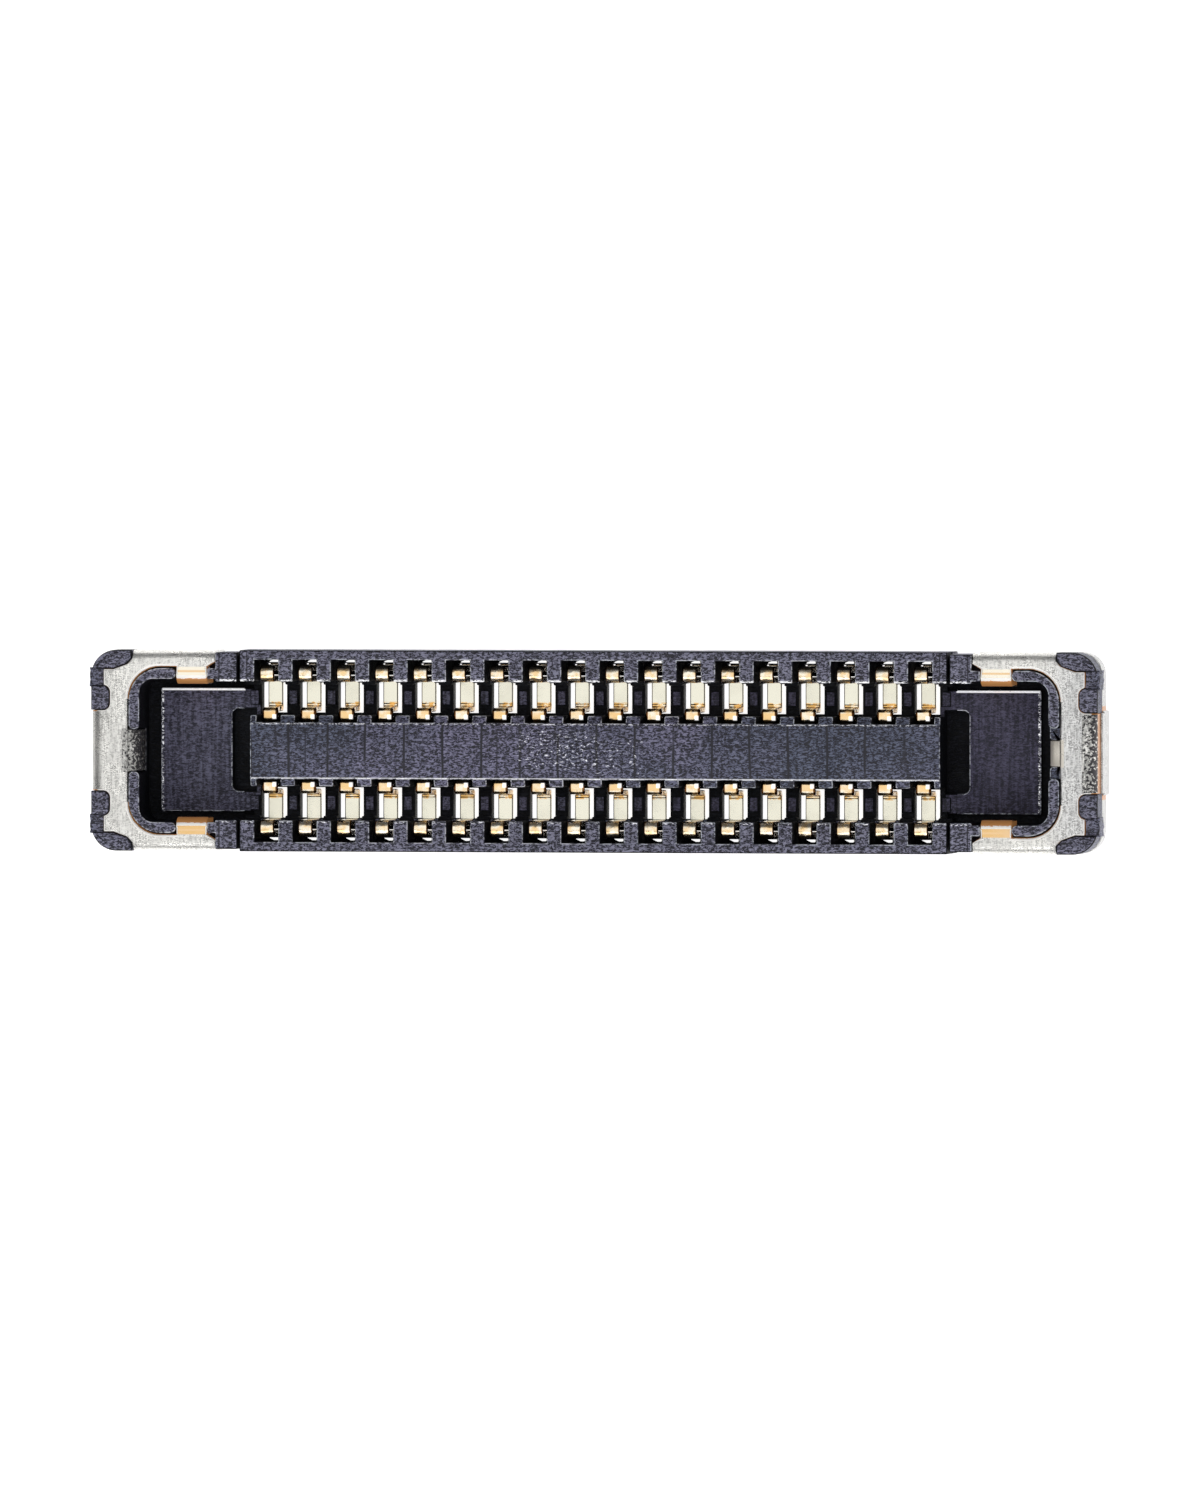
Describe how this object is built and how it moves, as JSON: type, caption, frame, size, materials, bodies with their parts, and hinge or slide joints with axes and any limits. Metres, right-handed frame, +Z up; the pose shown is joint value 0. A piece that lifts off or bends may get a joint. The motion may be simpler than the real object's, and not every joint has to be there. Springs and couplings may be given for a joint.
{
  "type": "fpc connector",
  "caption": "Fine-pitch receptacle for a flexible circuit: dark moulded housing, two rows of gold-plated spring contacts and a metal hold-down at each end.",
  "frame": {"origin": "middle of the solder plane, at the bottom centre of the part's box", "axes": "+X along the contact rows towards the end with the narrow tongue, +Y across the rows towards the rear row, +Z up out of the mating side"},
  "size_m": [0.0092, 0.0018, 0.0006],
  "materials": {
    "plastic": "dark blue-grey glass-filled moulding, finely speckled",
    "plated_sheet": "satin plated sheet with a fine grain, gold on the curled tabs",
    "gold_plating": "gold-plated stamped strip, paler on its flat base"
  },
  "bodies": {
    "root": {"housing": "plastic", "hold_down_left": "plated_sheet", "hold_down_right": "plated_sheet", "contact_rear_01": "gold_plating", "contact_rear_02": "gold_plating", "contact_rear_03": "gold_plating", "contact_rear_04": "gold_plating", "contact_rear_05": "gold_plating", "contact_rear_06": "gold_plating", "contact_rear_07": "gold_plating", "contact_rear_08": "gold_plating", "contact_rear_09": "gold_plating", "contact_rear_10": "gold_plating", "contact_rear_11": "gold_plating", "contact_rear_12": "gold_plating", "contact_rear_13": "gold_plating", "contact_rear_14": "gold_plating", "contact_rear_15": "gold_plating", "contact_rear_16": "gold_plating", "contact_rear_17": "gold_plating", "contact_rear_18": "gold_plating", "contact_front_01": "gold_plating", "contact_front_02": "gold_plating", "contact_front_03": "gold_plating", "contact_front_04": "gold_plating", "contact_front_05": "gold_plating", "contact_front_06": "gold_plating", "contact_front_07": "gold_plating", "contact_front_08": "gold_plating", "contact_front_09": "gold_plating", "contact_front_10": "gold_plating", "contact_front_11": "gold_plating", "contact_front_12": "gold_plating", "contact_front_13": "gold_plating", "contact_front_14": "gold_plating", "contact_front_15": "gold_plating", "contact_front_16": "gold_plating", "contact_front_17": "gold_plating", "contact_front_18": "gold_plating"}
  },
  "joints": []
}
